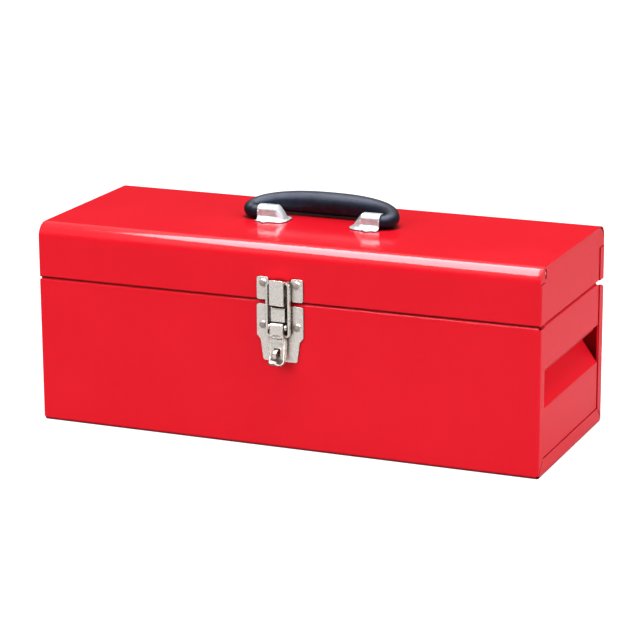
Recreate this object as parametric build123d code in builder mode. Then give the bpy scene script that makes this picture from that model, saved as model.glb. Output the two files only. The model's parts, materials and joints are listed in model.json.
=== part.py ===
"""Steel toolbox with a lift-out tray, a draw latch, a piano hinge and a folding handle.

Millimetres. The origin is the centre of the flat underside. +X runs to the right along the
length, the latch is on the -Y front, the hinge on the +Y back, and +Z is up.
"""
import math
import os

from build123d import *

# ---- sheet and overall size ----
length = 484.0
depth = 186.0
height = 187.3
sheet = 0.8
mid = sheet / 2

# ---- body ----
body_height = 135.2  # top of the rounded shoulder under the seam
bottom_bend = 2.6  # bend radii are those of the sheet's middle
corner_bend = 1.6
flange_width = 12.5  # flanges that lap over the end panels
bottom_flange_height = 15.5
mitre_slit = 1.2
hinge_gap = 7.6  # open slot in the back wall that holds the hinge knuckles
lip_rise = 6.2  # how far the lip stands above the shoulder
jog_height = 1.6
lid_clearance = 0.6
shoulder_bend = 1.0
back_corner_run = 19.0  # the end panel's top slopes down over this length to clear the hinge
back_knee_run = 7.0  # where the slope's knee is, from the back
back_knee_rise = 2.6
back_level_run = 2.0

# ---- end recess ----
recess_bottom = 60.5
recess_height = 35.5
recess_front_margin = 12.7
recess_back_margin = 14.7
flap_angle = 35.0  # from vertical
flap_side_gap = 0.7
flap_bend = 1.4
flap_top = 89.2  # level of the flaps' top edges, which carry the tray

# ---- lid ----
seam = 2.4
lid_front_bend = 12.6
lid_back_bend = 10.6
lid_back_rise = 2.0  # the lid's rear rim above the body's shoulder
slit_width = 3.4
slit_inset = 14.8
slit_height = 9.0
slit_top_drop = 2.0  # top of the slit below the lid's top
flange_back_corner = 16.0
back_tab_drop = 19.3  # top of the rear corner tabs below the lid's top

# ---- hinge ----
hinge_length = 430.0
knuckle_count = 13
knuckle_radius = 2.7
knuckle_gap = 0.4
hinge_pin_radius = 1.6
running_clearance = 0.05
leaf_thickness = 1.0
leaf_height = 22.0
leaf_relief = 3.6  # distance from the hinge axis to the leaves' straight edges
hinge_rivet_count = 6
hinge_rivet_pitch = 78.0
hinge_rivet_drop = 14.0  # distance of each rivet row from the hinge axis

# ---- latch ----
plate = 1.2
latch_plate_drop = 1.7  # top of the plate below the body's shoulder
latch_plate_height = 51.5
latch_plate_half_width = 22.4
latch_neck_half_width = 18.9
latch_tip_half_width = 16.3
latch_shoulder_rise = 23.0  # levels of the plate's outline above its bottom
latch_neck_rise = 19.0
plate_corner = 2.0
latch_rivet_x = 16.7
latch_rivet_rise = 32.3
pivot_standoff = 6.0  # lever pin to the front wall
pivot_drop = 18.9  # lever pin below the plate's top
pivot_radius = 1.5
crank = 8.0  # lever pin to loop bar
over_centre = 1.0  # how far the loop's pull passes behind the lever's pin
lever_half_width = 7.0
lever_roll = 4.5
lever_face_standoff = 9.1  # outer face of the lower part to the front wall
lever_knuckle_drop = 9.2  # bottom of the raised knuckle below the pin
lever_waist_drop = 12.0  # narrow place under the knuckle
lever_waist_standoff = 7.9
lever_knuckle_bend = 2.2
lever_foot_drop = 30.1
lever_tip_drop = 33.2
lever_tip_standoff = 16.6
lever_back_gap = 1.0
lever_lip_bend = 4.0
lever_tip_corner = 6.4
slot_half_width = 3.1
slot_height = 11.0
slot_drop = 24.2  # middle of the padlock slot below the pin
ear_clearance = 0.3
ear_radius = 2.7
pin_head_height = 0.5
tongue_half_width = 6.7
tongue_standoff = 6.0
tongue_gap = 0.5  # above the lever's roll
loop_half_width = 10.5
loop_thickness = 1.8
loop_depth = 3.2
crossbar_rise = 17.6  # loop's crossbar above the keeper's bottom
loop_bottom_bend = 2.5
loop_top_bend = 3.4
loop_bar_shoulder = 0.6
eye_radius = 2.6
eye_wall = 1.2
eye_width = 4.8
eye_drop = 23.6  # padlock eye below the pin
eye_neck_height = 5.0
eye_clearance = 0.2

# ---- keeper ----
keeper_half_width = 22.2
keeper_wing_inner = 10.9
keeper_height = 20.9
keeper_notch_height = 17.9
keeper_rivet_x = 16.2
keeper_rivet_rise = 15.1
hook_half_width = 6.8
hook_foot_drop = 2.7  # middle of the hook's foot below the keeper's bottom
hook_tip_drop = 0.7  # tip of the hook below the keeper's top
hook_throat = 6.8
hook_bend = 1.6
hook_corner = 2.0
shelf_clearance = 0.2

# ---- rivets ----
latch_rivet_radius = 1.9
latch_head_radius = 3.9
latch_head_height = 1.8
small_rivet_radius = 1.3
small_head_radius = 2.1
small_head_height = 1.0
tail_height = 1.0
tail_step = 0.8

# ---- handle ----
foot_lid_gap = 0.9  # under the feet
handle_reach = 31.6  # pivot axis to the middle of the grip
handle_half_span = 68.9
# middle line of the handle, from elbow to grip, as shares of half span and reach
handle_bow = [(0.962, 0.048), (1, 0.205), (0.976, 0.4), (0.888, 0.635), (0.683, 0.857), (0.363, 0.98)]
foot_clearance = 0.3  # feet to the inside of the brackets
foot_end_gap = 1.2
elbow_gap = 1.4  # straight run of each foot outside its bracket
grip_radius = 10.3
bow_stations = 20
swell_power = 0.9  # lower values carry the grip's thickness further out
grip_rest_gap = 2.2
bracket_outer_x = 60.0
bracket_shoulder_x = 40.5
bracket_tip_x = 31.0
bracket_wall = 1.0
bracket_nose_rise = 4.6  # height of the scoop just behind its tip
bracket_nose_half_width = 4.4
bracket_half_width = 7.2
bracket_corner = 5.5
bracket_flange_half_width = 13.6
bracket_flange_corner = 3.0
bracket_lobe_x = 50.5
bracket_lobe_y = 12.2
bracket_lobe_radius = 4.4
bracket_rivet_y = 12.6
reinforcement_half_length = 70.0
reinforcement_half_width = 20.0
reinforcement_thickness = 1.0

# ---- tray ----
tray_wall = 0.7
tray_seat_gap = 0.3
tray_end_gap = 2.2
tray_front_gap = 5.0  # tray to the outside of the front wall
tray_back_gap = 9.0
tray_rim_drop = 5.2  # below the body's shoulder
tray_corner = 6.0
tray_bottom_bend = 1.5
tray_rivet_count = 4
tray_rivet_pitch = 140.0
tray_rib_thickness = 0.9
tray_flange = 11.0
hand_slot_length = 96.0
hand_slot_height = 20.0
hand_slot_margin = 6.0
tray_rib_y = -2.0
divider_x = 78.0
divider_drop = 3.0

# ---- levels and faces worked out from the sizes above ----
half_length = length / 2
half_depth = depth / 2
wall_x = half_length - mid
wall_y = half_depth - mid
inner_y = half_depth - sheet
bend_reach = corner_bend + mid
straight_x = half_length - bend_reach
panel_edge_y = half_depth - bend_reach
panel_x = wall_x - sheet
lip_y = wall_y - sheet - lid_clearance
lip_x = panel_x - sheet - lid_clearance
shoulder_z = body_height - jog_height / 2
lip_foot_z = shoulder_z + jog_height
lip_top = body_height + lip_rise
lid_rim = body_height + seam
roof_z = height - mid
front_tab_top = roof_z - lid_front_bend - sheet
lid_back_rim = body_height + lid_back_rise
body_back_rim = lid_back_rim - hinge_gap
back_tab_top = height - back_tab_drop
back_corner_y = half_depth - back_corner_run
mitre_length = (flange_width - bottom_bend) * math.sqrt(2)
hinge_y = half_depth - sheet - knuckle_radius
hinge_z = body_back_rim + hinge_gap / 2
recess_width = depth - recess_front_margin - recess_back_margin
recess_middle_y = (recess_front_margin - recess_back_margin) / 2
latch_plate_top = body_height - latch_plate_drop
latch_plate_bottom = latch_plate_top - latch_plate_height
latch_rivet_z = latch_plate_bottom + latch_rivet_rise
pivot_y = -half_depth - pivot_standoff
pivot_z = latch_plate_top - pivot_drop
ear_inner_x = lever_half_width + ear_clearance
bar_y = pivot_y + over_centre
bar_z = pivot_z - crank
tongue_bottom = pivot_z + lever_roll + tongue_gap
eye_y = -half_depth - lever_face_standoff - eye_radius - eye_clearance
eye_z = pivot_z - eye_drop
keeper_bottom = lid_rim
keeper_top = keeper_bottom + keeper_height
keeper_rivet_z = keeper_bottom + keeper_rivet_rise
crossbar_z = keeper_bottom + crossbar_rise
hook_top = keeper_top - hook_tip_drop
hook_bottom = keeper_bottom - hook_foot_drop
shelf_z = crossbar_z - loop_thickness / 2 - shelf_clearance
hook_y = -half_depth - plate - hook_throat - plate / 2
foot_radius = bracket_half_width - bracket_wall - foot_clearance
handle_pivot_rise = foot_radius + foot_lid_gap
handle_foot_inner = bracket_shoulder_x + foot_end_gap
elbow_start = bracket_outer_x + elbow_gap
pivot_height = height + handle_pivot_rise
grip_centre_rise = grip_rest_gap + grip_radius
grip_tilt = math.degrees(math.asin((grip_centre_rise - handle_pivot_rise) / handle_reach))
grip_plane = Plane(origin=(0, 0, pivot_height)).rotated((grip_tilt, 0, 0))
tray_floor = flap_top + tray_seat_gap
tray_length = 2 * (lip_x - mid - tray_end_gap)
tray_front = tray_front_gap - half_depth
tray_back = half_depth - tray_back_gap
tray_rim = body_height - tray_rim_drop
tray_width = tray_back - tray_front
tray_middle_y = (tray_front + tray_back) / 2
rib_foot_z = tray_floor + tray_wall + tray_rib_thickness / 2
rib_half_length = tray_length / 2 - tray_wall - tray_corner
front_face = Plane.XZ.offset(half_depth)
front_side = (0, -1, 0)
back_side = (0, 1, 0)
up = (0, 0, 1)
rivet_hole_depth = 12.0

latch_rivet_points = [(x, -half_depth - plate, latch_rivet_z) for x in (-latch_rivet_x, latch_rivet_x)]
keeper_rivet_points = [(x, -half_depth - plate, keeper_rivet_z) for x in (-keeper_rivet_x, keeper_rivet_x)]
hinge_rivet_x = [(i - (hinge_rivet_count - 1) / 2) * hinge_rivet_pitch for i in range(hinge_rivet_count)]
body_hinge_rivet_points = [(x, half_depth, hinge_z - hinge_rivet_drop) for x in hinge_rivet_x]
lid_hinge_rivet_points = [(x, half_depth, hinge_z + hinge_rivet_drop) for x in hinge_rivet_x]
bracket_rivet_points = [
    (end * bracket_lobe_x, side * bracket_rivet_y, height + plate) for end in (-1, 1) for side in (-1, 1)
]
tray_rivet_y = tray_rib_y + tray_flange / 2
tray_rivet_z = rib_foot_z + tray_rib_thickness / 2
tray_rivet_x = [(i - (tray_rivet_count - 1) / 2) * tray_rivet_pitch for i in range(tray_rivet_count)]
tray_rivet_points = [(x, tray_rivet_y, tray_rivet_z) for x in tray_rivet_x]
back_corner_cut = [
    (half_depth + sheet, body_back_rim),
    (half_depth - back_level_run, body_back_rim),
    (half_depth - back_knee_run, body_back_rim + back_knee_rise),
    (back_corner_y, shoulder_z),
    (back_corner_y, lip_top),
    (half_depth + sheet, lip_top),
]


def sheet_section(plane, points, radii, thickness=sheet):
    """Cross-section of bent sheet: the polyline is the sheet's middle, rounded at its corners."""
    with BuildSketch(plane) as section:
        with BuildLine():
            FilletPolyline(*points, radius=radii)
        trace(line_width=thickness)
    return section.sketch


def outline(plane, points):
    """Closed polygon on a plane."""
    with BuildSketch(plane) as face:
        with BuildLine():
            Polyline(*points, close=True)
        make_face()
    return face.sketch


def mirrored(points):
    """Outline of a shape that is symmetric about its vertical axis, from its right half."""
    return points + [(-x, y) for x, y in reversed(points)]


def rivet(shank, head_radius, head_height, grip):
    """Rivet along Z: a domed head above z = 0, and a flat tail under the sheets it holds."""
    dome = (head_radius**2 + head_height**2) / (2 * head_height)
    with BuildPart() as piece:
        with BuildSketch(Plane.XZ):
            with BuildLine():
                RadiusArc((0, head_height), (head_radius, 0), dome)
                Polyline(
                    (head_radius, 0),
                    (shank, 0),
                    (shank, -grip),
                    (shank + tail_step, -grip),
                    (shank + tail_step, -grip - tail_height),
                    (0, -grip - tail_height),
                    (0, head_height),
                )
            make_face()
        revolve(axis=Axis.Z)
    return piece.part


def facing(direction, points):
    """Planes at the given points whose normals point along one direction."""
    return [Plane(origin=point, z_dir=direction) for point in points]


def wall_with_flanges(side):
    """Middle line, in plan, of a long wall (side -1 front, 1 back) with its two end flanges."""
    flange_end = side * (half_depth - flange_width)
    return [(wall_x, flange_end), (wall_x, side * wall_y), (-wall_x, side * wall_y), (-wall_x, flange_end)]


# ---- body shell: front wall, bottom and back wall in one sheet, with flanges round the ends ----
with BuildPart() as body_shell:
    wrapper = [
        (-lip_y, lip_top),
        (-lip_y, lip_foot_z),
        (-wall_y, shoulder_z),
        (-wall_y, mid),
        (wall_y, mid),
        (wall_y, body_back_rim),
    ]
    wrapper_bends = [shoulder_bend, shoulder_bend, bottom_bend, bottom_bend]
    extrude(sheet_section(Plane.YZ, wrapper, wrapper_bends), amount=straight_x, both=True)
    # front and back walls with their vertical corner bends and end flanges
    for side, top in ((-1, shoulder_z), (1, body_height)):
        start = bottom_bend + mid
        wall = sheet_section(Plane.XY.offset(start), wall_with_flanges(side), corner_bend)
        extrude(wall, amount=top - start)
    # bottom with its upturned end flanges
    floor = [(wall_x, bottom_flange_height), (wall_x, mid), (-wall_x, mid), (-wall_x, bottom_flange_height)]
    extrude(sheet_section(Plane.XZ, floor, corner_bend), amount=half_depth - bottom_bend - mid, both=True)
    # the back wall stops below the hinge gap, and its flanges slope down towards it
    extrude(outline(Plane.YZ, back_corner_cut), amount=length, both=True, mode=Mode.SUBTRACT)
    # mitre slits between the bottom flanges and the side flanges
    slit_y = half_depth - flange_width / 2
    slit_z = bottom_flange_height - flange_width / 2
    for end in (-1, 1):
        with BuildSketch(Plane.YZ.offset(end * wall_x)):
            for side in (-1, 1):
                with Locations((side * slit_y, slit_z)):
                    Rectangle(mitre_length, mitre_slit, rotation=-45 * side)
        extrude(amount=sheet, both=True, mode=Mode.SUBTRACT)
    with Locations(*facing(front_side, latch_rivet_points)):
        Cylinder(latch_rivet_radius, rivet_hole_depth, mode=Mode.SUBTRACT)
    with Locations(*facing(back_side, body_hinge_rivet_points)):
        Cylinder(small_rivet_radius, rivet_hole_depth, mode=Mode.SUBTRACT)

# ---- end panels, with the lip that goes inside the lid and the recess flap ----
with BuildPart() as end_panel_right:
    panel = [
        (-panel_edge_y, bend_reach),
        (panel_edge_y, bend_reach),
        (panel_edge_y, body_back_rim),
        (half_depth - back_knee_run, body_back_rim + back_knee_rise),
        (back_corner_y, shoulder_z),
        (-panel_edge_y, shoulder_z),
    ]
    extrude(outline(Plane.YZ.offset(panel_x - mid), panel), amount=sheet)
    lip = [(panel_x, shoulder_z - jog_height), (panel_x, shoulder_z), (lip_x, lip_foot_z), (lip_x, lip_top)]
    lip_run = back_corner_y + lip_y - shoulder_bend - 2 * sheet
    extrude(sheet_section(Plane.XZ.offset(-back_corner_y), lip, shoulder_bend), amount=lip_run)
    # three-sided cut, and its flap bent inwards about the bottom edge
    with BuildSketch(Plane.YZ.offset(panel_x - sheet)):
        with Locations((recess_middle_y, recess_bottom + recess_height / 2)):
            Rectangle(recess_width, recess_height)
    extrude(amount=2 * sheet, mode=Mode.SUBTRACT)
    lean = math.radians(flap_angle)
    flap = [
        (panel_x, recess_bottom - 2 * flap_bend),
        (panel_x, recess_bottom),
        (panel_x - recess_height * math.sin(lean), recess_bottom + recess_height * math.cos(lean)),
    ]
    flap_width = recess_width - 2 * flap_side_gap
    flap_start = Plane.XZ.offset(flap_width / 2 - recess_middle_y)
    extrude(sheet_section(flap_start, flap, flap_bend), amount=-flap_width)
    # the flap's top edge is cut level
    with BuildSketch(Plane.XY.offset(flap_top)):
        with Locations((panel_x - recess_height / 2 - sheet, recess_middle_y)):
            Rectangle(recess_height, recess_width)
    extrude(amount=recess_height, mode=Mode.SUBTRACT)

with BuildPart() as end_panel_left:
    mirror(end_panel_right.part, about=Plane.YZ)

# ---- lid shell: a pressed top with end flanges, and front and back walls with corner tabs ----
with BuildPart() as lid_shell:
    roof = [(-wall_y, lid_rim), (-wall_y, roof_z), (wall_y, roof_z), (wall_y, lid_back_rim)]
    lid_bends = [lid_front_bend, lid_back_bend]
    extrude(sheet_section(Plane.YZ, roof, lid_bends), amount=straight_x, both=True)
    # above the corner tabs the sheet runs on to the end flanges
    crown = [(-wall_y, front_tab_top), (-wall_y, roof_z), (wall_y, roof_z), (wall_y, back_tab_top)]
    extrude(sheet_section(Plane.YZ, crown, lid_bends), amount=half_length - sheet, both=True)
    for side, bottom, top in ((-1, lid_rim, front_tab_top), (1, lid_back_rim, back_tab_top)):
        tabs = sheet_section(Plane.XY.offset(bottom), wall_with_flanges(side), corner_bend)
        extrude(tabs, amount=top - bottom)
    # end flanges: the rear corner is cut rounder than the roof's bend, which leaves a crescent gap
    for end in (-1, 1):
        with BuildSketch(Plane.YZ.offset(end * panel_x)) as flange:
            with Locations((0, (height - sheet + lid_rim) / 2)):
                Rectangle(2 * inner_y, height - sheet - lid_rim)
            fillet(flange.vertices().group_by(Axis.Y)[-1].sort_by(Axis.X)[0], lid_front_bend - mid)
            fillet(flange.vertices().group_by(Axis.Y)[-1].sort_by(Axis.X)[-1], flange_back_corner)
        extrude(amount=mid, both=True)
        # relief slit behind the front bend
        with BuildSketch(Plane.YZ.offset(end * half_length)):
            with Locations((slit_inset - half_depth, height - slit_top_drop - slit_height / 2)):
                Rectangle(slit_width, slit_height)
        extrude(amount=2 * sheet, both=True, mode=Mode.SUBTRACT)
    with Locations(*facing(front_side, keeper_rivet_points)):
        Cylinder(latch_rivet_radius, rivet_hole_depth, mode=Mode.SUBTRACT)
    with Locations(*facing(back_side, lid_hinge_rivet_points)):
        Cylinder(small_rivet_radius, rivet_hole_depth, mode=Mode.SUBTRACT)
    with Locations(*facing(up, bracket_rivet_points)):
        Cylinder(small_rivet_radius, rivet_hole_depth, mode=Mode.SUBTRACT)


# ---- piano hinge ----
def hinge_leaf(side, first):
    """One leaf: a strip with every second knuckle. side is 1 for the lid's leaf above the axis."""
    pitch = hinge_length / knuckle_count
    knuckle_x = [(i - (knuckle_count - 1) / 2) * pitch for i in range(first, knuckle_count, 2)]
    leaf_y = hinge_y + knuckle_radius - leaf_thickness / 2
    with BuildPart() as leaf:
        with Locations((0, leaf_y, hinge_z + side * (leaf_relief + leaf_height) / 2)):
            Box(hinge_length, leaf_thickness, leaf_height - leaf_relief)
        for x in knuckle_x:
            with Locations((x, leaf_y, hinge_z + side * leaf_relief / 2)):
                Box(pitch - knuckle_gap, leaf_thickness, leaf_relief)
            with Locations(Plane(origin=(x, hinge_y, hinge_z), z_dir=(1, 0, 0))):
                Cylinder(knuckle_radius, pitch - knuckle_gap)
        with Locations(Plane(origin=(0, hinge_y, hinge_z), z_dir=(1, 0, 0))):
            Cylinder(hinge_pin_radius + running_clearance, 2 * hinge_length, mode=Mode.SUBTRACT)
        points = lid_hinge_rivet_points if side > 0 else body_hinge_rivet_points
        with Locations(*facing(back_side, points)):
            Cylinder(small_rivet_radius, rivet_hole_depth, mode=Mode.SUBTRACT)
    return leaf


hinge_leaf_body = hinge_leaf(-1, 0)
hinge_leaf_lid = hinge_leaf(1, 1)

with BuildPart() as hinge_pin:
    with Locations(Plane(origin=(0, hinge_y, hinge_z), z_dir=(1, 0, 0))):
        Cylinder(hinge_pin_radius, hinge_length)

small_wall_rivet = rivet(small_rivet_radius, small_head_radius, small_head_height, sheet + leaf_thickness)
with BuildPart() as hinge_rivets_body:
    with Locations(*facing(back_side, body_hinge_rivet_points)):
        add(small_wall_rivet)
with BuildPart() as hinge_rivets_lid:
    with Locations(*facing(back_side, lid_hinge_rivet_points)):
        add(small_wall_rivet)

# ---- latch base: plate, raised tongue above the lever, and two ears that hold the lever's pin ----
with BuildPart() as latch_base_plate:
    with BuildSketch(front_face) as plate_outline:
        with BuildLine():
            half = [
                (latch_plate_half_width, latch_plate_top),
                (latch_plate_half_width, latch_plate_bottom + latch_shoulder_rise),
                (latch_neck_half_width, latch_plate_bottom + latch_neck_rise),
                (latch_tip_half_width, latch_plate_bottom),
            ]
            Polyline(*mirrored(half), close=True)
        make_face()
        fillet(plate_outline.vertices(), plate_corner)
    extrude(amount=plate)
    tongue = [
        (-half_depth - plate / 2, latch_plate_top - plate),
        (-half_depth - tongue_standoff + plate / 2, latch_plate_top - 1.5 * plate),
        (-half_depth - tongue_standoff + plate / 2, tongue_bottom),
    ]
    extrude(sheet_section(Plane.YZ, tongue, plate, plate), amount=tongue_half_width, both=True)
    for side in (-1, 1):
        with BuildSketch(Plane.YZ.offset(side * (ear_inner_x + plate / 2))):
            with Locations((pivot_y, pivot_z)):
                Circle(ear_radius)
                Rectangle(pivot_standoff, 2 * ear_radius, align=(Align.MIN, Align.CENTER))
        extrude(amount=plate / 2, both=True)
    with Locations(Plane(origin=(0, pivot_y, pivot_z), z_dir=(1, 0, 0))):
        Cylinder(pivot_radius, 4 * ear_inner_x, mode=Mode.SUBTRACT)
    with Locations(*facing(front_side, latch_rivet_points)):
        Cylinder(latch_rivet_radius, rivet_hole_depth, mode=Mode.SUBTRACT)
    with BuildSketch(front_face):
        with Locations((0, eye_z)):
            Rectangle(eye_width, eye_neck_height)
    extrude(amount=plate, mode=Mode.SUBTRACT)

latch_rivet = rivet(latch_rivet_radius, latch_head_radius, latch_head_height, plate + sheet)
with BuildPart() as latch_base_rivets:
    with Locations(*facing(front_side, latch_rivet_points)):
        add(latch_rivet)

with BuildPart() as latch_pivot_pin:
    with Locations(Plane(origin=(0, pivot_y, pivot_z), z_dir=(1, 0, 0))):
        Cylinder(pivot_radius, 2 * (ear_inner_x + plate))
        for side in (-1, 1):
            with Locations((0, 0, side * (ear_inner_x + plate + pin_head_height / 2))):
                Cylinder(pivot_radius + pin_head_height, pin_head_height)

with BuildPart() as padlock_staple:
    with BuildSketch(Plane.YZ):
        with Locations((eye_y, eye_z)):
            Circle(eye_radius + eye_wall)
        with Locations((-half_depth, eye_z)):
            Rectangle(-half_depth - eye_y, eye_neck_height, align=(Align.MAX, Align.CENTER))
        with Locations((eye_y, eye_z)):
            Circle(eye_radius, mode=Mode.SUBTRACT)
    extrude(amount=eye_width / 2, both=True)

# ---- lever: a channel with a rolled top, a padlock slot and a flared finger lip ----
with BuildPart() as latch_lever:
    face_y = -half_depth - lever_face_standoff + plate / 2
    roll_y = pivot_y - lever_roll + plate / 2
    roll_z = pivot_z + lever_roll - plate / 2
    waist_y = -half_depth - lever_waist_standoff + plate / 2
    back_y = -half_depth - plate - lever_back_gap
    knuckle_z = pivot_z - lever_knuckle_drop
    waist_z = pivot_z - lever_waist_drop
    foot_z = pivot_z - lever_foot_drop
    front_strip = [
        (pivot_y + over_centre, roll_z),
        (roll_y, roll_z),
        (roll_y, knuckle_z),
        (waist_y, waist_z),
        (face_y, foot_z),
        (-half_depth - lever_tip_standoff, pivot_z - lever_tip_drop),
    ]
    strip_bends = [lever_roll - plate, lever_knuckle_bend, lever_knuckle_bend / 2, lever_lip_bend]
    extrude(sheet_section(Plane.YZ, front_strip, strip_bends, plate), amount=lever_half_width, both=True)
    # side walls, whose front edge follows the strip
    wall_outline = [
        (back_y, foot_z + lever_lip_bend),
        (face_y, foot_z + lever_lip_bend),
        (waist_y, waist_z),
        (roll_y, knuckle_z),
        (roll_y, pivot_z),
        (back_y, pivot_z),
    ]
    for side in (-1, 1):
        with BuildSketch(Plane.YZ.offset(side * (lever_half_width - plate / 2))):
            with BuildLine():
                Polyline(*wall_outline, close=True)
            make_face()
            with Locations((pivot_y, pivot_z)):
                Circle(lever_roll - plate / 2)
        extrude(amount=plate / 2, both=True)
    tip_edges = latch_lever.edges().filter_by(Axis.X, reverse=True).group_by(Axis.Y)[0]
    fillet(tip_edges, lever_tip_corner)
    with BuildSketch(front_face):
        with Locations((0, pivot_z - slot_drop)):
            Rectangle(2 * slot_half_width, slot_height)
    extrude(amount=lever_tip_standoff, mode=Mode.SUBTRACT)
    for y, z in ((pivot_y, pivot_z), (bar_y, bar_z)):
        with Locations(Plane(origin=(0, y, z), z_dir=(1, 0, 0))):
            Cylinder(pivot_radius + running_clearance, 4 * lever_half_width, mode=Mode.SUBTRACT)

# ---- loop: a strap frame whose bottom bar turns in the lever and whose top goes in the hook ----
with BuildPart() as latch_loop:
    leg_end = lever_half_width + loop_bar_shoulder
    right = [(leg_end, bar_z), (loop_half_width, bar_z), (loop_half_width, crossbar_z)]
    bends = [loop_bottom_bend, loop_top_bend, loop_top_bend, loop_bottom_bend]
    strap = sheet_section(Plane.XZ.offset(-bar_y), mirrored(right), bends, loop_thickness)
    extrude(strap, amount=loop_depth / 2, both=True)
    with Locations(Plane(origin=(0, bar_y, bar_z), z_dir=(1, 0, 0))):
        Cylinder(pivot_radius, 2 * leg_end)

# ---- keeper on the lid: two wings, a shelf that takes the loop's pull, and the hook in front ----
with BuildPart() as latch_keeper:
    wing_width = keeper_half_width - keeper_wing_inner
    wing_x = (keeper_half_width + keeper_wing_inner) / 2
    with BuildSketch(front_face):
        with Locations(*[(side * wing_x, (keeper_top + keeper_bottom) / 2) for side in (-1, 1)]):
            RectangleRounded(wing_width, keeper_top - keeper_bottom, plate_corner)
        with Locations((0, keeper_bottom + (keeper_notch_height + plate) / 2)):
            Rectangle(2 * keeper_half_width - 4 * plate_corner, keeper_notch_height - plate)
    extrude(amount=plate)
    hook = [
        (-half_depth - plate / 2, keeper_bottom + 2 * plate),
        (-half_depth - plate / 2, hook_bottom),
        (hook_y, hook_bottom),
        (hook_y, hook_top),
    ]
    extrude(sheet_section(Plane.YZ, hook, hook_bend, plate), amount=hook_half_width, both=True)
    hook_edges = latch_keeper.edges().filter_by_position(Axis.Y, hook_y - plate, hook_y + plate)
    fillet(hook_edges.filter_by(Axis.Y).group_by(Axis.Z)[-1], hook_corner)
    with Locations((0, -half_depth - plate, shelf_z)):
        Box(2 * hook_half_width, hook_throat, plate, align=(Align.CENTER, Align.MAX, Align.MAX))
    with Locations(*facing(front_side, keeper_rivet_points)):
        Cylinder(latch_rivet_radius, rivet_hole_depth, mode=Mode.SUBTRACT)

with BuildPart() as latch_keeper_rivets:
    with Locations(*facing(front_side, keeper_rivet_points)):
        add(latch_rivet)


# ---- handle brackets: stamped scoops with a flange on the lid ----
def scoop_section(x, half_width, rise, corner):
    """Arch on the lid's top at a station x: two walls and a flat crown with rounded corners."""
    with BuildSketch(Plane.YZ.offset(x)) as arch:
        with Locations((0, height)):
            RectangleRounded(2 * half_width, 2 * rise, corner)
            Rectangle(2 * half_width, rise, align=(Align.CENTER, Align.MAX), mode=Mode.SUBTRACT)
    return arch.sketch


with BuildPart() as handle_bracket_right:
    crown = handle_pivot_rise + bracket_half_width
    nose_x = bracket_tip_x + bracket_nose_half_width
    nose_corner = bracket_nose_rise - bracket_wall
    shoulder = scoop_section(bracket_shoulder_x, bracket_half_width, crown, bracket_corner)
    loft([scoop_section(bracket_outer_x, bracket_half_width, crown, bracket_corner), shoulder])
    loft([shoulder, scoop_section(nose_x, bracket_nose_half_width, bracket_nose_rise, nose_corner)])
    with BuildSketch(Plane.XY.offset(height)) as flange:
        with BuildLine():
            half = [
                (bracket_outer_x, bracket_flange_half_width),
                (bracket_shoulder_x, bracket_flange_half_width),
                (bracket_tip_x, bracket_nose_half_width),
            ]
            Polyline(*half, *[(x, -y) for x, y in reversed(half)], close=True)
        make_face()
        for side in (-1, 1):
            with Locations((bracket_lobe_x, side * bracket_lobe_y)):
                Circle(bracket_lobe_radius)
        nose_corners = flange.vertices().filter_by_position(Axis.X, bracket_tip_x, bracket_shoulder_x)
        fillet(nose_corners, bracket_flange_corner)
    extrude(amount=plate)
    inside = bracket_half_width - bracket_wall
    inner_corner = bracket_corner - bracket_wall
    inner_crown = crown - bracket_wall
    inner_shoulder = scoop_section(bracket_shoulder_x + bracket_wall / 2, inside, inner_crown, inner_corner)
    mouth = scoop_section(bracket_outer_x + bracket_wall, inside, inner_crown, inner_corner)
    nose_inside = bracket_nose_half_width - bracket_wall
    nose_height = bracket_nose_rise - bracket_wall
    inner_nose = scoop_section(nose_x + bracket_wall, nose_inside, nose_height, nose_corner - bracket_wall)
    loft([mouth, inner_shoulder], mode=Mode.SUBTRACT)
    loft([inner_shoulder, inner_nose], mode=Mode.SUBTRACT)
    with Locations(*facing(up, bracket_rivet_points[2:])):
        Cylinder(small_rivet_radius, rivet_hole_depth, mode=Mode.SUBTRACT)

with BuildPart() as handle_bracket_left:
    mirror(handle_bracket_right.part, about=Plane.YZ)

with BuildPart() as handle_reinforcement:
    with BuildSketch(Plane.XY.offset(height - sheet - reinforcement_thickness)):
        RectangleRounded(2 * reinforcement_half_length, 2 * reinforcement_half_width, tray_corner)
    extrude(amount=reinforcement_thickness)
    with Locations(*facing(up, bracket_rivet_points)):
        Cylinder(small_rivet_radius, rivet_hole_depth, mode=Mode.SUBTRACT)

bracket_grip = plate + sheet + reinforcement_thickness
with BuildPart() as handle_bracket_rivets:
    with Locations(*facing(up, bracket_rivet_points)):
        add(rivet(small_rivet_radius, small_head_radius, small_head_height, bracket_grip))

# ---- handle: a thick bow with feet turned inwards into the brackets, folded back on the lid ----
def ring(centre, along, radius):
    """Round section of the handle at one station, square to the handle's run."""
    with BuildSketch(Plane(origin=centre, x_dir=grip_plane.z_dir, z_dir=along)) as section:
        Circle(radius)
    return section.sketch


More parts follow.
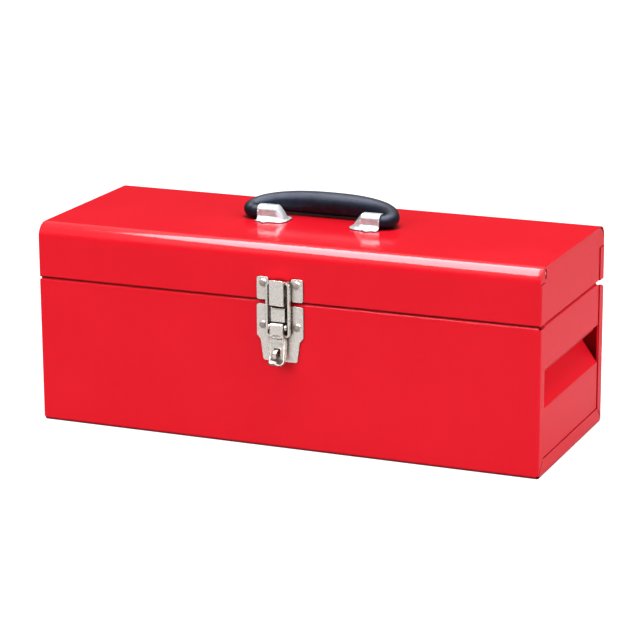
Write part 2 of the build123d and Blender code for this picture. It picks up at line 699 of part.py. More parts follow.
with BuildPart() as handle_grip:
    with BuildLine(grip_plane) as bow:
        half = [(elbow_start, 0)] + [(x * handle_half_span, y * handle_reach) for x, y in handle_bow]
        Spline(*half, (0, handle_reach), *[(-x, y) for x, y in reversed(half)])
    # straight feet that turn in the brackets
    foot_length = elbow_start - handle_foot_inner
    foot_centres = [(handle_foot_inner + foot_length * i / 4, 0, pivot_height) for i in range(4)]
    rings = [ring(centre, (1, 0, 0), foot_radius) for centre in foot_centres]
    # the bow, thickest in the middle
    for i in range(bow_stations + 1):
        share = i / bow_stations
        swell = math.sin(math.pi * share) ** swell_power
        radius = foot_radius + (grip_radius - foot_radius) * swell
        rings.append(ring(bow.line @ share, bow.line % share, radius))
    rings += [ring((-x, y, z), (1, 0, 0), foot_radius) for x, y, z in reversed(foot_centres)]
    loft(rings)

# ---- tray ----
with BuildPart() as tray_pan:
    with BuildSketch(Plane.XY.offset(tray_floor)):
        with Locations((0, tray_middle_y)):
            RectangleRounded(tray_length, tray_width, tray_corner)
    extrude(amount=tray_rim - tray_floor)
    fillet(tray_pan.faces().sort_by(Axis.Z)[0].edges(), tray_bottom_bend)
    offset(amount=-tray_wall, openings=tray_pan.faces().sort_by(Axis.Z)[-1])
    with Locations(*facing(up, tray_rivet_points)):
        Cylinder(small_rivet_radius, rivet_hole_depth, mode=Mode.SUBTRACT)

with BuildPart() as tray_handle:
    rib = [(tray_rib_y + tray_flange, rib_foot_z), (tray_rib_y, rib_foot_z), (tray_rib_y, tray_rim)]
    angle = sheet_section(Plane.YZ, rib, tray_rib_thickness, tray_rib_thickness)
    extrude(angle, amount=rib_half_length, both=True)
    with BuildSketch(Plane.XZ.offset(-tray_rib_y)):
        with Locations((0, tray_rim - hand_slot_margin - hand_slot_height / 2)):
            SlotOverall(hand_slot_length, hand_slot_height)
    extrude(amount=tray_flange / 2, both=True, mode=Mode.SUBTRACT)
    with Locations(*facing(up, tray_rivet_points)):
        Cylinder(small_rivet_radius, rivet_hole_depth, mode=Mode.SUBTRACT)

tray_grip = tray_rib_thickness + tray_wall
with BuildPart() as tray_handle_rivets:
    with Locations(*facing(up, tray_rivet_points)):
        add(rivet(small_rivet_radius, small_head_radius, small_head_height, tray_grip))


def tray_divider(x):
    """Cross divider between the tray's front wall and its lengthwise rib, with a foot on the floor."""
    front = tray_front + tray_wall
    back = tray_rib_y - tray_rib_thickness / 2
    with BuildPart() as divider:
        blade = [(x + tray_flange, rib_foot_z), (x, rib_foot_z), (x, tray_rim - divider_drop)]
        angle = sheet_section(Plane.XZ.offset(-back), blade, tray_rib_thickness, tray_rib_thickness)
        extrude(angle, amount=back - front)
        # notch at the front foot clears the pan's bottom bend
        with Locations((x, front, tray_floor)):
            Box(3 * tray_flange, 2 * tray_bottom_bend, 2 * tray_bottom_bend, mode=Mode.SUBTRACT)
    return divider


tray_divider_left = tray_divider(-divider_x)
tray_divider_right = tray_divider(divider_x)

os.makedirs("parts", exist_ok=True)
pieces = {
    "body_shell": body_shell,
    "end_panel_left": end_panel_left,
    "end_panel_right": end_panel_right,
    "hinge_leaf_body": hinge_leaf_body,
    "hinge_leaf_lid": hinge_leaf_lid,
    "hinge_pin": hinge_pin,
    "hinge_rivets_body": hinge_rivets_body,
    "hinge_rivets_lid": hinge_rivets_lid,
    "latch_base_plate": latch_base_plate,
    "latch_base_rivets": latch_base_rivets,
    "latch_pivot_pin": latch_pivot_pin,
    "padlock_staple": padlock_staple,
    "latch_lever": latch_lever,
    "latch_loop": latch_loop,
    "lid_shell": lid_shell,
    "latch_keeper": latch_keeper,
    "latch_keeper_rivets": latch_keeper_rivets,
    "handle_bracket_left": handle_bracket_left,
    "handle_bracket_right": handle_bracket_right,
    "handle_bracket_rivets": handle_bracket_rivets,
    "handle_reinforcement": handle_reinforcement,
    "handle_grip": handle_grip,
    "tray_pan": tray_pan,
    "tray_handle": tray_handle,
    "tray_handle_rivets": tray_handle_rivets,
    "tray_divider_left": tray_divider_left,
    "tray_divider_right": tray_divider_right,
}
for name, piece in pieces.items():
    piece.part.label = name
    export_step(piece.part, f"parts/{name}.step")
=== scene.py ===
"""Steel toolbox with a lift-out tray: finishes, finer fittings, studio light and camera.

Metres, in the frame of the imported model: +X to the right, the latch on the -Y front, +Z up.
The finer fittings are drawn in millimetres.
"""
import json
import math

import bpy
import numpy as np
from mathutils import Matrix, Vector


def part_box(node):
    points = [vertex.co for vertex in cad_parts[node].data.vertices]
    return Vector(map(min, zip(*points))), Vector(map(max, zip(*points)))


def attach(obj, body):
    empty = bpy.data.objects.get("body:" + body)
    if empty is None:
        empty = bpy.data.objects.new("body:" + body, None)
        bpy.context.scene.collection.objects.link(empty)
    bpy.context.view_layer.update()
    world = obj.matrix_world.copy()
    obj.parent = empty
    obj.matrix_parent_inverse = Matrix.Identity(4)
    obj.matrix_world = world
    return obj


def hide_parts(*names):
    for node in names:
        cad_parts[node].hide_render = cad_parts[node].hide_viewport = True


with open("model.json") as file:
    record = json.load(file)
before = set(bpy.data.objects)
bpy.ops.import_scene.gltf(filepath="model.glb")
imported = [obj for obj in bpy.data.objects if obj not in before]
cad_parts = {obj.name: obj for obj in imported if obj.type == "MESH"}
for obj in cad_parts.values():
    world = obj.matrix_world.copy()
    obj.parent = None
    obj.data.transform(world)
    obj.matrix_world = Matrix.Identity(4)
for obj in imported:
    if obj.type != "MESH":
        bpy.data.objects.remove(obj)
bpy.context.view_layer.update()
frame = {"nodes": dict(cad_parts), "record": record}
nodes = frame["nodes"]
scene = bpy.context.scene

MM = 0.001
WHITE = (1.0, 1.0, 1.0, 1.0)
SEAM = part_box("lid_shell")[0].z  # level between body and lid
LID_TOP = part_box("lid_shell")[1].z / MM
FRONT = -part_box("latch_base_plate")[1].y / MM  # how far the body's front is from the middle


# ---- node trees ----
class Field:
    """A number, colour or vector that varies over a surface; arithmetic on it adds Math nodes."""

    def __init__(self, tree, socket):
        self.tree = tree
        self.socket = socket

    def math(self, operation, *terms):
        return self.tree.node("ShaderNodeMath", {"operation": operation}, dict(enumerate(terms)))

    def __add__(self, other):
        return self.math("ADD", self, other)

    __radd__ = __add__

    def __sub__(self, other):
        return self.math("SUBTRACT", self, other)

    def __rsub__(self, other):
        return self.math("SUBTRACT", other, self)

    def __mul__(self, other):
        return self.math("MULTIPLY", self, other)

    __rmul__ = __mul__

    def size(self):
        """The value without its sign."""
        return self.math("ABSOLUTE", self)

    def or_more(self, other):
        """The larger of the two."""
        return self.math("MAXIMUM", self, other)

    def rising(self, low, high, start=0.0, end=1.0):
        """Smooth step from start, at or under low, to end, at or over high."""
        settings = {"interpolation_type": "SMOOTHSTEP"}
        inputs = {0: self, 1: low, 2: high, 3: start, 4: end}
        return self.tree.node("ShaderNodeMapRange", settings, inputs)

    def falling(self, low, high):
        """Smooth step from 1, at or under low, to 0, at or over high."""
        return self.rising(low, high, 1.0, 0.0)


class Nodes:
    """A node tree whose nodes are added as they are asked for."""

    def __init__(self, node_tree):
        self.node_tree = node_tree

    def node(self, kind, settings, inputs, output=0):
        """Adds one node: its settings first, then the values or links of its sockets."""
        made = self.node_tree.nodes.new(kind)
        for name, value in settings.items():
            setattr(made, name, value)
        for name, value in inputs.items():
            self.feed(made.inputs[name], value)
        return Field(self, made.outputs[output])

    def feed(self, socket, value):
        """Gives a socket its value, or links a field to it."""
        if isinstance(value, Field):
            self.node_tree.links.new(value.socket, socket)
        elif isinstance(value, tuple) and len(value) == 3 and socket.type == "RGBA":
            socket.default_value = (*value, 1)
        else:
            socket.default_value = value

    def rays(self):
        """Three fields, each 1 on the rays of one kind: camera, reflected and passed through."""
        kinds = ("Is Camera Ray", "Is Glossy Ray", "Is Transmission Ray")
        return [self.node("ShaderNodeLightPath", {}, {}, kind) for kind in kinds]


class Finish(Nodes):
    """One surface finish: a Principled material."""

    def __init__(self, name, **inputs):
        self.material = bpy.data.materials.new(name)
        self.material.use_nodes = True
        super().__init__(self.material.node_tree)
        self.surface = self.node_tree.nodes["Principled BSDF"]
        self.set(**inputs)

    def set(self, **inputs):
        """Feeds inputs of the Principled node, by name in lower case."""
        for name, value in inputs.items():
            socket = name.replace("_", " ").title().replace("Ior", "IOR")
            self.feed(self.surface.inputs[socket], value)

    def show(self, shader):
        """Makes a shader what the material shows, in place of the Principled node."""
        self.feed(self.node_tree.nodes["Material Output"].inputs["Surface"], shader)

    def place(self):
        return self.node("ShaderNodeTexCoord", {}, {}, "Object")

    def along(self, axis):
        """The place on the object along X, Y or Z."""
        return self.node("ShaderNodeSeparateXYZ", {}, {"Vector": self.place()}, axis)

    def noise(self, scale, detail=2.0, roughness=0.5):
        inputs = {
            "Vector": self.place(),
            "Scale": scale,
            "Detail": detail,
            "Roughness": roughness,
        }
        return self.node("ShaderNodeTexNoise", {}, inputs)

    def patches(self, scale, detail, roughness=0.5, low=0.35, high=0.7):
        """Patches from 0 to 1: the part of a noise from low to high, stretched."""
        return self.noise(scale, detail, roughness).rising(low, high)

    def cells(self, scale, output="Distance"):
        inputs = {"Vector": self.place(), "Scale": scale}
        return self.node("ShaderNodeTexVoronoi", {}, inputs, output)

    def blend(self, factor, one, other):
        """Colour between one and the other."""
        return self.node("ShaderNodeMix", {"data_type": "RGBA"}, {0: factor, 6: one, 7: other}, 2)

    def openness(self, reach):
        """1 on open faces, falling to 0 deep in folds and gaps narrower than the reach."""
        node = self.node("ShaderNodeAmbientOcclusion", {"samples": 8}, {"Distance": reach}, "AO")
        return node.rising(0.3, 0.9)

    def relief(self, height, depth, edge=0.0):
        """Normal of a surface with that relief, in metres, on softly rounded edges."""
        inputs = {"Height": height, "Distance": depth, "Strength": 1.0}
        if edge:
            inputs["Normal"] = self.node("ShaderNodeBevel", {"samples": 6}, {"Radius": edge})
        return self.node("ShaderNodeBump", {}, inputs)


# ---- finishes ----
def enamel(name, colour, deep, shade_colour, roughness, peel):
    """Baked enamel on sheet steel: slow drift of colour, orange peel, painted shade in folds and
    along the seam, and a painted highlight on the lid's front bend: a clear coat there only,
    thinner at its left."""
    finish = Finish(name, ior=1.2, roughness=roughness, coat_ior=1.7, coat_roughness=0.05)
    drift = finish.patches(9.0, 3.0, low=0.3)
    grain = finish.noise(420.0)
    skin_height = finish.noise(330.0) + 7.0 * finish.noise(45.0, 1.0)
    open_colour = finish.blend(drift * 0.55 + grain * 0.3 + 0.08, deep, colour)
    across, depth, level = (finish.along(axis) for axis in "XYZ")
    # painted shade: the paint is darkened along the two edges at the seam, which stop at the box's
    # flat ends
    seam_shade_low, seam_shade_high, end_x = SEAM - 0.0008, SEAM + 0.0008, 0.2400
    seam_shade = level.rising(seam_shade_low - 0.0005, seam_shade_low) * level.falling(seam_shade_high, seam_shade_high + 0.0006)
    seam_shade = seam_shade * across.size().falling(end_x, end_x + 0.0012)
    # painted highlight: the clear coat lies only on the bend, which stops short of the right end
    # and is thinner at its left
    bend_low, bend_high, bend_back, bend_right = 0.181, 0.1866, -0.081, 0.2375
    bend = level.rising(bend_low - 0.003, bend_low) * level.falling(bend_high, bend_high + 0.0006)
    bend = bend * depth.falling(bend_back, bend_back + 0.002)
    bend = bend * across.falling(bend_right, bend_right + 0.0015)
    bend = bend * across.rising(-0.2, -0.1, start=0.35)
    shade_reach, highlight_share = 0.006, 0.5
    # painted shade: the paint is darkened towards the shade colour in folds, in gaps narrower than
    # the reach and along the seam
    unshaded = finish.openness(shade_reach) * (1.0 - 0.8 * seam_shade)
    finish.set(
        base_color=finish.blend(unshaded, shade_colour, open_colour),
        coat_weight=highlight_share * bend,
        roughness=roughness + 0.05 * drift + 0.03 * grain,
        normal=finish.relief(skin_height * peel, 0.001, 0.0006),
    )
    return finish.material


def plated(name, colour, dull, shade_colour, metallic, roughness, wave, lip_shade=0.0):
    """Plated steel: bright metal with faint clouding, shallow tumbling marks and painted brown
    shade in its crevices; the last argument paints shade on the latch's finger lip, and on the
    rivets' crowns with it."""
    finish = Finish(name, metallic=metallic)
    cloud = finish.patches(160.0, 4.0, 0.6)
    scuff = finish.noise(1500.0, 3.0, 0.7)
    # painted shade: the colour is darkened towards the brown shade colour in crevices and gaps
    # narrower than 8 mm
    unshaded = finish.openness(0.008)
    if lip_shade:
        across, depth, level = (finish.along(axis) for axis in "XYZ")
        # the lip lies low and far in front; the crowns lie in front of the plates, at both sides
        lip_level, lip_depth, crown_x, crown_depth = 0.0850, -0.1030, 0.0118, -0.0952
        lip = level.falling(lip_level, lip_level + 0.003)
        lip = lip * depth.falling(lip_depth, lip_depth + 0.0015)
        crown = across.size().rising(crown_x, crown_x + 0.0004)
        crown = crown * depth.falling(crown_depth, crown_depth + 0.0005)
        # painted shade: the finger lip and the rivets' crowns are darkened, and the crowns are
        # made less metallic, which dims their highlight
        unshaded = unshaded * (1.0 - lip_shade * lip) * (1.0 - 0.75 * crown)
        finish.set(metallic=metallic - 0.9 * crown)
    finish.set(
        base_color=finish.blend(unshaded, shade_colour, finish.blend(cloud, dull, colour)),
        roughness=roughness + 0.08 * cloud + 0.06 * scuff,
        normal=finish.relief(finish.noise(240.0) * wave + 0.005 * scuff, 0.0005, 0.0005),
    )
    return finish.material


def moulded(name, colour, worn):
    """Moulded plastic with a fine leather grain and random patches that are a little lighter and
    glossier.
    """
    finish = Finish(name, ior=1.3, specular_tint=(0.72, 0.84, 1.0))
    grain = finish.cells(900.0) + 0.6 * finish.noise(1400.0, 3.0, 0.6)
    cloud = finish.patches(90.0, 4.0, 0.65, high=0.68)
    finish.set(
        base_color=finish.blend(cloud, colour, worn),
        roughness=0.36 - 0.10 * cloud + 0.05 * finish.noise(700.0),
        normal=finish.relief(grain, 0.00012),
    )
    return finish.material


def galvanised(name, colour, dull):
    """Zinc-plated steel with a faint spangle."""
    finish = Finish(name, metallic=1.0)
    spangle = finish.node("ShaderNodeSeparateColor", {}, {0: finish.cells(260.0, "Color")})
    cloud = finish.noise(70.0, 4.0, 0.6)
    finish.set(
        base_color=finish.blend(spangle * 0.6 + cloud * 0.4, dull, colour),
        roughness=0.32 + 0.16 * spangle + 0.08 * cloud,
        normal=finish.relief(finish.noise(500.0, 3.0), 0.00004, 0.0003),
    )
    return finish.material


finishes = {
    "red_paint": enamel(
        "red_enamel",
        colour=(0.88, 0.012, 0.026),
        deep=(0.83, 0.010, 0.022),
        shade_colour=(0.10, 0.0, 0.0),
        roughness=0.10,
        peel=0.012,
    ),
    "tray_paint": enamel(
        "tray_enamel",
        colour=(0.74, 0.010, 0.020),
        deep=(0.66, 0.008, 0.016),
        shade_colour=(0.25, 0.001, 0.002),
        roughness=0.30,
        peel=0.03,
    ),
    "nickel_plate": plated(
        "latch_nickel",
        colour=(0.99, 0.965, 0.87),
        dull=(0.94, 0.915, 0.82),
        shade_colour=(0.15, 0.10, 0.085),
        metallic=0.85,
        roughness=0.22,
        wave=0.025,
        lip_shade=0.8,
    ),
    "bright_chrome": plated(
        "bracket_chrome",
        colour=(0.62, 0.71, 0.72),
        dull=(0.52, 0.60, 0.61),
        shade_colour=(0.10, 0.07, 0.07),
        metallic=0.5,
        roughness=0.25,
        wave=0.03,
    ),
    "black_plastic": moulded(
        "grip_plastic",
        colour=(0.004, 0.005, 0.009),
        worn=(0.010, 0.013, 0.024),
    ),
    "zinc_steel": galvanised(
        "hinge_zinc",
        colour=(0.62, 0.62, 0.62),
        dull=(0.44, 0.45, 0.46),
    ),
}
slots = {entry["node"]: entry["material_slot"] for entry in frame["record"]["subparts"]}
for name, piece in nodes.items():
    piece.data.materials.clear()
    piece.data.materials.append(finishes[slots[name]])


# ---- finer fittings ----
def mesh_object(name, points, faces, material):
    mesh = bpy.data.meshes.new(name)
    mesh.from_pydata(points, [], faces)
    mesh.materials.append(material)
    made = bpy.data.objects.new(name, mesh)
    scene.collection.objects.link(made)
    return made


def skin(name, grid, body, node, slot, wrapped=False, holes=None):
    """Mesh over a grid of points (rows, columns, 3) in millimetres, with an optional mask of faces
    that are left out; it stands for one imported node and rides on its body."""
    rows, columns = grid.shape[:2]
    index = np.arange(rows * columns).reshape(rows, columns)
    if wrapped:
        index = np.concatenate([index, index[:, :1]], 1)
    quads = np.stack([index[:-1, :-1], index[1:, :-1], index[1:, 1:], index[:-1, 1:]], -1)
    if holes is not None:
        quads = quads[~holes]
    faces = quads.reshape(-1, 4).tolist()
    if wrapped:
        faces += [index[0, :columns].tolist(), index[-1, :columns][::-1].tolist()]
    made = mesh_object(name, (grid.reshape(-1, 3) * MM).tolist(), faces, finishes[slot])
    made.data.polygons.foreach_set("use_smooth", np.ones(len(made.data.polygons), bool))
    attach(made, body)
    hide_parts(node)
    return made


def thicken(piece, thickness):
    """Gives a sheet its thickness, to the inside."""
    wall = piece.modifiers.new("thickness", "SOLIDIFY")
    wall.thickness = thickness * MM
    wall.offset = -1


def curve_through(points, steps):
    """Smooth curve through points: natural cubic in chord length, sampled evenly in steps."""
    points = np.array(points, float)
    at = np.r_[0, np.cumsum(np.linalg.norm(np.diff(points, axis=0), axis=1))]
    gap = np.diff(at)
    count = len(at)
    rows = np.eye(count)
    sides = np.zeros((count, points.shape[1]))
    inner = np.arange(1, count - 1)
    rows[inner, inner - 1] = gap[:-1]
    rows[inner, inner] = 2 * (gap[:-1] + gap[1:])
    rows[inner, inner + 1] = gap[1:]
    slopes = np.diff(points, axis=0) / gap[:, None]
    sides[1:-1] = 6 * (slopes[1:] - slopes[:-1])
    bend = np.linalg.solve(rows, sides)
    where = np.linspace(0, at[-1], steps)
    i = np.clip(np.searchsorted(at, where, "right") - 1, 0, count - 2)
    past, left, width = (where - at[i])[:, None], (at[i + 1] - where)[:, None], gap[i][:, None]
    cubic = (bend[i] * left**3 + bend[i + 1] * past**3) / (6 * width)
    from_start = (points[i] / width - bend[i] * width / 6) * left
    from_end = (points[i + 1] / width - bend[i + 1] * width / 6) * past
    return cubic + from_start + from_end


def directions(path):
    """Unit vectors along a path."""
    run = np.gradient(path, axis=0)
    return run / np.linalg.norm(run, axis=1)[:, None]


def rail(path, across_axis, radii, turns, ridge=0.0):
    """Tube along a path: each ring is an ellipse, square to the path, with half-widths radii
    (along across_axis, and along the other direction); ridge raises a fine line on both sides."""
    ridge_width = 0.05
    side = np.broadcast_to(np.array(across_axis, float), path.shape)
    other = np.cross(side, directions(path))
    angle = np.linspace(0, 2 * np.pi, turns, endpoint=False)
    swell = 1 + ridge * np.exp(-((np.sin(angle) / ridge_width) ** 2))
    one = np.cos(angle)[None, :, None] * radii[:, 0, None, None] * side[:, None]
    two = (np.sin(angle) * swell)[None, :, None] * radii[:, 1, None, None] * other[:, None]
    return path[:, None] + one + two


def carry_grip():
    """Moulded grip: a rail whose middle line is the bow, tilted back about the feet; its radius
    swells from the feet to the middle as a power of a half sine, dips at each collar and closes
    at the ends."""
    half_span, reach = 68.9, 31.6
    foot_radius, middle_radius, swell_power, flatness = 5.9, 10.9, 0.9, 0.985
    pivot_rise, rest_gap = 6.8, 1.0
    foot_end_x, elbow_x = 44.6, 61.4
    collar_x, collar_y, collar_depth, collar_width = 65.2, 4, 0.6, 0.8
    loose_to_left = 2.6
    parting_line = 0.012
    bow_steps, foot_steps, turns = 161, 20, 64
    closing = (0.02, 0.6, 0.9)
    bow_shares = [
        (0.962, 0.048),
        (1, 0.205),
        (0.976, 0.4),
        (0.888, 0.635),
        (0.683, 0.857),
        (0.363, 0.98),
    ]
    half = [(elbow_x, 0)] + [(x * half_span, y * reach) for x, y in bow_shares]
    bow = curve_through(half + [(0, reach)] + [(-x, y) for x, y in reversed(half)], bow_steps)
    half_sine = np.sin(np.pi * np.linspace(0, 1, bow_steps)).clip(0)
    radius = foot_radius + (middle_radius - foot_radius) * half_sine**swell_power
    radius = np.pad(radius, foot_steps, constant_values=foot_radius)
    foot_x = np.linspace(foot_end_x, elbow_x, foot_steps + 1)[:-1]
    level_y = np.zeros(foot_steps)
    bow = np.concatenate([np.c_[foot_x, level_y], bow, np.c_[-foot_x, level_y][::-1]])
    from_collar = (np.abs(bow[:, 0]) - collar_x) / collar_width
    radius = radius - collar_depth * np.exp(-(from_collar**2)) * (bow[:, 1] <= collar_y)
    tilt = math.asin((rest_gap + middle_radius - pivot_rise) / reach)
    x, y = bow.T
    path = np.c_[
        x - loose_to_left,
        y * math.cos(tilt),
        LID_TOP + pivot_rise + y * math.sin(tilt),
    ]
    across_axis = (0, -math.sin(tilt), math.cos(tilt))
    grid = rail(path, across_axis, np.c_[radius * flatness, radius], turns, parting_line)
    first, last = (
        np.stack([path[i] + (grid[i] - path[i]) * share for share in closing]) for i in (0, -1)
    )
    grid = np.concatenate([first, grid, last[::-1]])
    skin("carry_grip", grid, "handle", "handle_grip", "black_plastic", wrapped=True)


def bracket_scoop(side, node):
    """Stamped scoop: over its length x the half-width, rise and flange follow curves; across, the
    section runs flange, root curve, wall, crown curve and crown, and mirrors to the other side."""
    heel_x, nose_x, nose_length, tip_x = 60, 42.5, 9.2, 31
    flange_level, crown_level, nose_drop = 1.2, 14.0, 12.8
    heel_half_width, nose_narrowing = 7.2, 3.4
    root_radius, crown_radius, least_radius = 2.6, 5.2, 0.02
    rivet_x, rivet_y = 50.5, 12.6
    flange_half_width, lobe_depth, lobe_half, wave_depth = 13.4, 3.0, 3.6, 0.5
    flange_nose_x, flange_nose_length, flange_nose_start, flange_nose_narrowing = 41, 10, 5.0, 8.3
    press_depth, press_x, press_half, press_level, press_rise = 1.0, 50.2, 8.2, 6.3, 2.7
    dimple_depth, dimple_half_x, dimple_half_y = 0.25, 3.4, 2.7
    sheet = 0.95
    x = np.concatenate([np.linspace(heel_x, 42, 30), np.linspace(41.6, tip_x, 46)])
    into_nose = ((nose_x - x) / nose_length).clip(0, 1)
    rise = crown_level - nose_drop * into_nose**1.35
    half_width = heel_half_width - nose_narrowing * into_nose**1.5
    # the flange is a lobe round the rivet with a slight wave, then an ellipse round the nose
    lobe = lobe_depth * np.exp(-(((x - rivet_x) / lobe_half) ** 4))
    lobe = lobe + wave_depth * np.cos((x - rivet_x) * 0.9)
    into_flange_nose = ((flange_nose_x - x) / flange_nose_length).clip(0, 1)
    flange_nose = flange_nose_start + flange_nose_narrowing * np.sqrt(1 - into_flange_nose**2)
    flange = np.where(x > flange_nose_x, flange_half_width + lobe, flange_nose)
    root = np.minimum(root_radius, 0.45 * (rise - flange_level)).clip(least_radius)
    crown = np.minimum(crown_radius, 0.5 * (rise - flange_level)).clip(least_radius)
    x, w, h, f, r, c = (v[:, None] for v in (x, half_width, rise, flange, root, crown))
    t = np.linspace(0, 1, 13)[None, :]
    turn = t * np.pi / 2
    section = [
        (w + r + (f - w - r) * (1 - t), flange_level),
        (w + r - r * np.sin(turn), flange_level + r - r * np.cos(turn)),
        (w, flange_level + r + (h - c - flange_level - r) * t),
        (w - c + c * np.cos(turn), h - c + c * np.sin(turn)),
        ((w - c) * (1 - t), h),
    ]
    y, z = np.concatenate([np.broadcast_arrays(*part) for part in section], 2)
    # each wall is pressed in a little between the flange and the crown
    pressed = 1 / (1 + ((z - press_level) / press_rise) ** 20)
    pressed = pressed / (1 + ((x - press_x) / press_half) ** 40)
    y = y - press_depth * pressed * (y > 3)
    y, z = np.concatenate([y, -y[:, -2::-1]], 1), np.concatenate([z, z[:, -2::-1]], 1)
    # shallow dimples pressed into the flange round the rivets
    from_rivet = np.hypot((x - rivet_x) / dimple_half_x, (np.abs(y) - rivet_y) / dimple_half_y)
    z = z - dimple_depth * np.exp(-(from_rivet**6)) * (np.abs(y) > heel_half_width + root_radius)
    grid = np.stack([np.broadcast_to(side * x, y.shape), y, LID_TOP + z], -1)
    if side < 0:
        grid = grid[:, ::-1]
    name = f"bracket_scoop_{'right' if side > 0 else 'left'}"
    thicken(skin(name, grid, "lid", node, "bright_chrome"), sheet)


def lever_face():
    """Folded lever: a middle line in side view rolls over the pin, drops down the knuckle, waists
    in, runs down the face and flares into the finger lip; across, a channel whose walls reach
    back."""
    stations = [
        # front, level, half-width, then the front and level that the walls reach back to
        (5.0, 118.3, 5.6, 4.4, 116.6),
        (8.9, 118.4, 6.0, 5.0, 116.2),
        (10.1, 117.8, 6.2, 5.0, 115.4),
        (10.5, 116.4, 6.3, 3.2, 114.4),
        (10.5, 111.0, 6.3, 2.6, 111.0),
        (10.4, 107.2, 6.3, 2.4, 107.4),
        (9.9, 105.6, 6.5, 2.4, 106.0),
        (8.5, 104.3, 7.2, 2.4, 104.6),
        (7.9, 102.8, 7.6, 2.4, 103.0),
        (8.0, 100.0, 7.7, 2.4, 100.0),
        (8.4, 94.0, 7.6, 2.4, 94.0),
        (8.8, 89.0, 7.5, 3.2, 88.6),
        (9.5, 86.6, 7.5, 6.6, 85.4),
        (10.6, 84.4, 7.6, 8.8, 82.9),
        (12.2, 83.1, 7.2, 11.5, 81.5),
        (13.9, 82.7, 6.2, 13.9, 81.2),
        (15.1, 83.1, 4.2, 15.9, 82.0),
        (15.5, 83.9, 0.9, 16.6, 83.6),
    ]
    sheet, edge_radius = 1.1, 0.9
    slot_half_width, slot_low, slot_high = 3.1, 87.4, 95.8
    panel_middle, panel_half, panel_share, panel_depth = 111.4, 4.2, 0.72, 0.8
    crease_levels, crease_width, crease_share, crease_depth = (106.3, 104.4), 0.45, 0.93, 0.9
    lip_top = 90
    along_steps, wall_steps, bend_steps, front_steps = 280, 6, 6, 33
    line = curve_through(stations, along_steps)
    y, z, half_width, back_y, back_z = line.T
    run = directions(line[:, :2])
    in_y, in_z = run[:, 1], -run[:, 0]
    edge = np.minimum(edge_radius, 0.45 * half_width)
    top_y, top_z = y + in_y * edge, z + in_z * edge
    left = [
        (-half_width, top_y + (back_y - top_y) * share, top_z + (back_z - top_z) * share)
        for share in np.linspace(1, 0, wall_steps + 1)[:-1]
    ]
    for angle in np.linspace(0, np.pi / 2, bend_steps):
        drop = edge * (1 - np.sin(angle))
        x = -(half_width - edge * (1 - np.cos(angle)))
        left.append((x, y + in_y * drop, z + in_z * drop))
    # the front has a hollow lip, two creases under the knuckle, and the knuckle's pressed panel
    hollow = np.interp(y * (z < lip_top), [8.8, 10.5, 13.5, 15.0, 15.5], [0.0, 0.8, 1.0, 0.5, 0.0])
    creases = sum(
        crease_depth * np.exp(-(((z - level) / crease_width) ** 2)) for level in crease_levels
    )
    pressed = panel_depth * (1 / (1 + ((z - panel_middle) / panel_half) ** 10))
    front = []
    for share in np.linspace(-1, 1, front_steps):
        drop = pressed / (1 + (share / panel_share) ** 16) + hollow * (1 - share**2)
        drop = drop + creases * (abs(share) < crease_share)
        front.append(((half_width - edge) * share, y + in_y * drop, z + in_z * drop))
    right = [(-x, depth, level) for x, depth, level in reversed(left)]
    columns = [np.stack([x, -FRONT - depth, z], -1) for x, depth, z in left + front + right]
    grid = np.stack(columns, 1)
    middles = 0.25 * (grid[:-1, :-1] + grid[1:, :-1] + grid[1:, 1:] + grid[:-1, 1:])
    x_mid, z_mid = middles[..., 0], middles[..., 2]
    slot_hole = (np.abs(x_mid) < slot_half_width) & (z_mid > slot_low) & (z_mid < slot_high)
    # only the front's faces are cut, not the walls
    slot_hole[:, : len(left)] = False
    slot_hole[:, len(left) + len(front) - 1 :] = False
    piece = skin("lever_face", grid, "latch_lever", "latch_lever", "nickel_plate", holes=slot_hole)
    thicken(piece, sheet)


def padlock_loop():
    """Padlock eye: a flat strap bent to a U in side view, a rail along two legs and a half
    circle."""
    leg_start, centre_y, centre_z, radius = FRONT + 1.2, FRONT + 11.9, 91.0, 3.2
    strap_half_width, strap_half_thickness = 1.8, 0.6
    leg_steps, nose_steps, turns = 11, 25, 24
    angle = np.linspace(-np.pi / 2, np.pi / 2, nose_steps)
    nose = np.c_[centre_y + radius * np.cos(angle), centre_z + radius * np.sin(angle)]
    leg_y = np.linspace(leg_start, centre_y, leg_steps + 1)[:-1]
    low_leg = np.c_[leg_y, np.full(leg_steps, centre_z - radius)]
    high_leg = np.c_[leg_y, np.full(leg_steps, centre_z + radius)][::-1]
    line = np.concatenate([low_leg, nose, high_leg])
    path = np.c_[np.zeros(len(line)), -line[:, 0], line[:, 1]]
    radii = np.tile([strap_half_width, strap_half_thickness], (len(path), 1))
    grid = rail(path, (1, 0, 0), radii, turns)
    skin("padlock_loop", grid, "body", "padlock_staple", "nickel_plate", wrapped=True)


carry_grip()
bracket_scoop(1, "handle_bracket_right")
bracket_scoop(-1, "handle_bracket_left")
lever_face()
padlock_loop()


# ---- studio ----
def panel(name, level, corners, material):
    """Flat cloth or board at a level, cut along straight lines from corner to corner."""
    points = [(x, y, level) for x, y in corners]
    made = mesh_object(name, points, [tuple(range(len(corners)))], material)
    return made


def dark_ring(name, radius, low, high, material, sides=48):
    """Ring of dark cloth round the table: points at the radius, at every angle, low and high."""
    angle = np.linspace(0, 2 * np.pi, sides, endpoint=False)
    ring = np.stack([radius * np.cos(angle), radius * np.sin(angle)], 1)
    points = np.concatenate([np.c_[ring, np.full(sides, low)], np.c_[ring, np.full(sides, high)]])
    i = np.arange(sides)
    faces = np.stack([i, (i + 1) % sides, (i + 1) % sides + sides, i + sides], 1)
    made = mesh_object(name, points.tolist(), faces.tolist(), material)
    made.visible_camera = made.visible_diffuse = False
    made.visible_shadow = made.visible_transmission = False


def glow(name, colour, strength):
    """Plain light-emitting cloth."""
    finish = Finish(name)
    finish.show(finish.node("ShaderNodeEmission", {}, {"Color": colour, "Strength": strength}))
    return finish.material


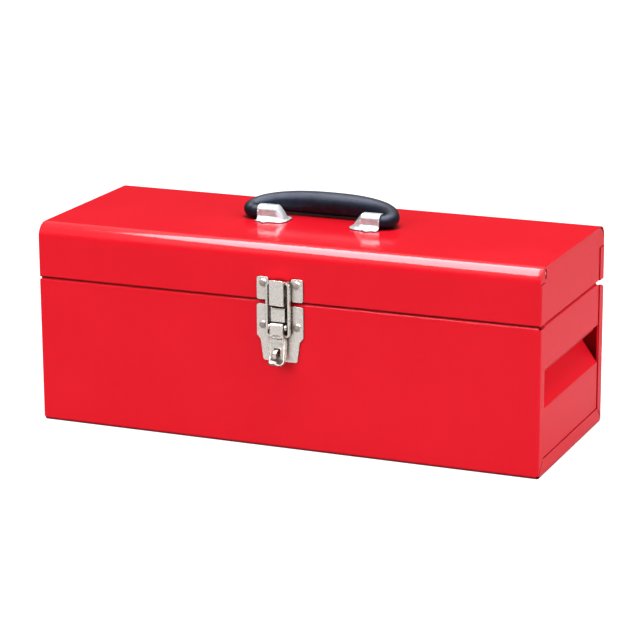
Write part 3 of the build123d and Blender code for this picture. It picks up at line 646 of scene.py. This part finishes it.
def white_table():
    """White table: the camera sees the white backdrop, a little darker in the object's shade, and
    reflections see a pale table."""
    finish = Finish("white_table", roughness=0.6, base_color=(0.32, 0.31, 0.32))
    to_camera, to_reflections = 0.9, 0.06
    camera, reflected, passed = finish.rays()
    strength = to_camera * camera + to_reflections * reflected.or_more(passed)
    glowing = finish.node("ShaderNodeEmission", {}, {"Color": WHITE, "Strength": strength})
    plain = Field(finish, finish.surface.outputs[0])
    finish.show(finish.node("ShaderNodeAddShader", {}, {0: plain, 1: glowing}))
    return finish.material


def white_room():
    """World that is plain white to look at, and lights things with less."""
    light_share = 0.42
    world = bpy.data.worlds.new("studio")
    world.use_nodes = True
    tree = Nodes(world.node_tree)
    sky = world.node_tree.nodes["Background"]
    camera, reflected, passed = tree.rays()
    seen = camera.or_more(reflected).or_more(passed)
    strength = tree.node("ShaderNodeMapRange", {}, {"Value": seen, "To Min": light_share})
    tree.feed(sky.inputs["Color"], WHITE)
    tree.feed(sky.inputs["Strength"], strength)
    return world


def lamp(name, place, aim, size, power):
    """Soft rectangular lamp that reflections don't show."""
    data = bpy.data.lights.new(name, "AREA")
    data.shape = "RECTANGLE"
    data.size, data.size_y = size
    data.energy = power
    made = bpy.data.objects.new(name, data)
    made.location = place
    made.rotation_euler = (Vector(aim) - Vector(place)).to_track_quat("-Z", "Y").to_euler()
    made.visible_glossy = False
    scene.collection.objects.link(made)


table_half, cloth_level = 4, 1.9
table_corners = [(-1, -1), (1, -1), (1, 1), (-1, 1)]
panel("table", 0.0, [(x * table_half, y * table_half) for x, y in table_corners], white_table())
scene.world = white_room()
scene.view_settings.view_transform = "Standard"
dark_ring("dark_cloth", 3.2, 0.0, 1.45, glow("dark_cloth", WHITE, 0.06))
# the cloth's front edge runs back at the left, so its reflection on the lid's bend ends there
cloth_corners = [
    (-1.02, -0.2),
    (-0.90, -0.9),
    (-0.45, -1.5),
    (1.2, -1.5),
    (1.2, 1.1),
    (-0.90, 1.1),
]
bright_glow = glow("bright_cloth", (0.98, 0.92, 1.0, 1.0), 12.5)
bright_cloth = panel("bright_cloth", cloth_level, cloth_corners, bright_glow)
bright_cloth.visible_camera = bright_cloth.visible_diffuse = bright_cloth.visible_shadow = False
lamp("overhead_strip", (0.05, -0.45, 1.95), aim=(0.05, -0.2, 0.1), size=(1.7, 0.34), power=18)
lamp("front_fill", (-1.2, -2.4, 1.5), aim=(0, 0, 0.1), size=(1.6, 1.6), power=35)
lamp("right_fill", (2.4, -0.5, 1.1), aim=(0, 0, 0.1), size=(1.2, 1.6), power=29)
lamp("top_soft", (0.2, 0.9, 2.3), aim=(0, 0, 0.15), size=(2.0, 1.2), power=11.5)


# ---- camera ----
azimuth, elevation, roll = (math.radians(angle) for angle in (22.78, 15.22, -0.34))
target = Vector((-0.0010, 0, 0.0962))
distance = 2.44
towards = Vector(
    (
        math.sin(azimuth) * math.cos(elevation),
        -math.cos(azimuth) * math.cos(elevation),
        math.sin(elevation),
    )
)
level_right = Vector((math.cos(azimuth), math.sin(azimuth), 0))
level_up = towards.cross(level_right)
right = math.cos(roll) * level_right + math.sin(roll) * level_up
up = math.cos(roll) * level_up - math.sin(roll) * level_right
turned = Matrix((right, up, towards)).transposed().to_4x4()
camera_data = bpy.data.cameras.new("camera")
camera_data.lens = 148.95
camera_data.clip_end = 50
camera = bpy.data.objects.new("camera", camera_data)
camera.matrix_world = Matrix.Translation(target + distance * towards) @ turned
scene.collection.objects.link(camera)
scene.camera = camera
